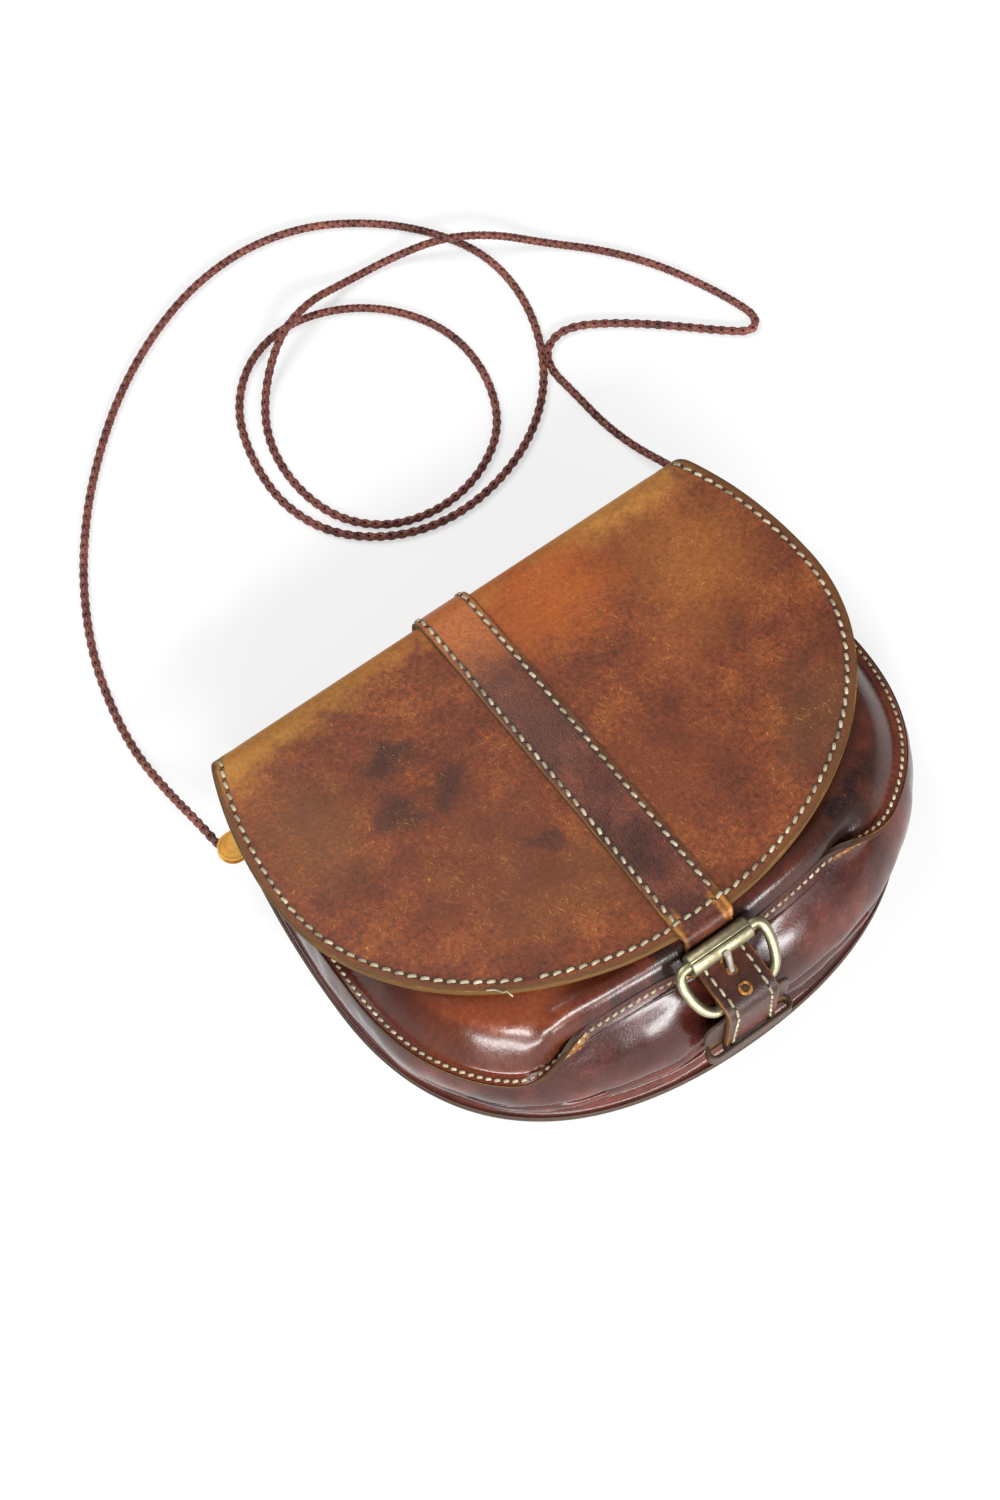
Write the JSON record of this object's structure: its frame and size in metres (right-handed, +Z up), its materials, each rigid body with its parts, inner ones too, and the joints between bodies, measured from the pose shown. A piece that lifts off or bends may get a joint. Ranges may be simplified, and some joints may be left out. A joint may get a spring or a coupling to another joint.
{
  "type": "leather saddle bag",
  "caption": "D-shaped leather shoulder bag lying on its back: stitched pouch, hinged flap with centre strap, roller buckle, keeper loop and braided shoulder cord.",
  "frame": {"origin": "on the floor under the middle of the bag, measured without the loose shoulder cord", "axes": "+X across the bag, along the fold; +Y from the buckle towards the fold; +Z up, out of the back panel"},
  "size_m": [0.3294, 0.4155, 0.0685],
  "materials": {
    "body_leather": "glossy waxed mahogany leather, creased",
    "flap_leather": "worn and scratched chestnut leather, satin",
    "strap_leather": "dark reddish brown bridle leather, satin",
    "tail_leather": "dark brown leather, glossy where it bends",
    "buckle_brass": "aged pale brass, softly polished",
    "thread": "waxed cream thread",
    "cord_leather": "braided reddish brown leather lace",
    "ear_leather": "raw golden tan leather"
  },
  "bodies": {
    "bag_body": {"back_panel": "body_leather", "gusset": "body_leather", "front_panel": "body_leather", "flap_spine": "flap_leather", "spine_strap": "strap_leather", "buckle_chape": "tail_leather", "keeper_loop": "tail_leather", "front_seam_thread": "thread", "back_seam_thread": "thread", "spine_thread": "thread", "shoulder_cord": "cord_leather", "cord_ear_left": "ear_leather", "cord_ear_right": "ear_leather", "cord_knot_left": "cord_leather", "cord_knot_right": "cord_leather"},
    "flap": {"flap_panel": "flap_leather", "flap_strap": "strap_leather", "strap_tail": "tail_leather", "flap_edge_thread": "thread", "flap_strap_thread": "thread", "tail_thread": "thread"},
    "buckle": {"buckle_frame": "buckle_brass"},
    "roller": {"buckle_roller": "buckle_brass"},
    "prong": {"buckle_prong": "buckle_brass"}
  },
  "joints": [
    {"name": "flap_hinge", "type": "hinge", "parent": "bag_body", "child": "flap", "pos_m": [0, 0.1017, 0.054], "axis": [-1, 0, 0], "range_deg": [0, 165], "deforming": ["strap_tail", "tail_thread"]},
    {"name": "buckle_pivot", "type": "hinge", "parent": "bag_body", "child": "buckle", "pos_m": [-0.003, -0.0948, 0.046], "axis": [1, 0, 0], "range_deg": [0, 90]},
    {"name": "prong_pivot", "type": "hinge", "parent": "buckle", "child": "prong", "pos_m": [-0.003, -0.0948, 0.046], "axis": [1, 0, 0], "range_deg": [0, 60]},
    {"name": "roller_spin", "type": "hinge", "parent": "buckle", "child": "roller", "pos_m": [-0.003, -0.07763, 0.05991], "axis": [1, 0, 0], "continuous": true}
  ]
}
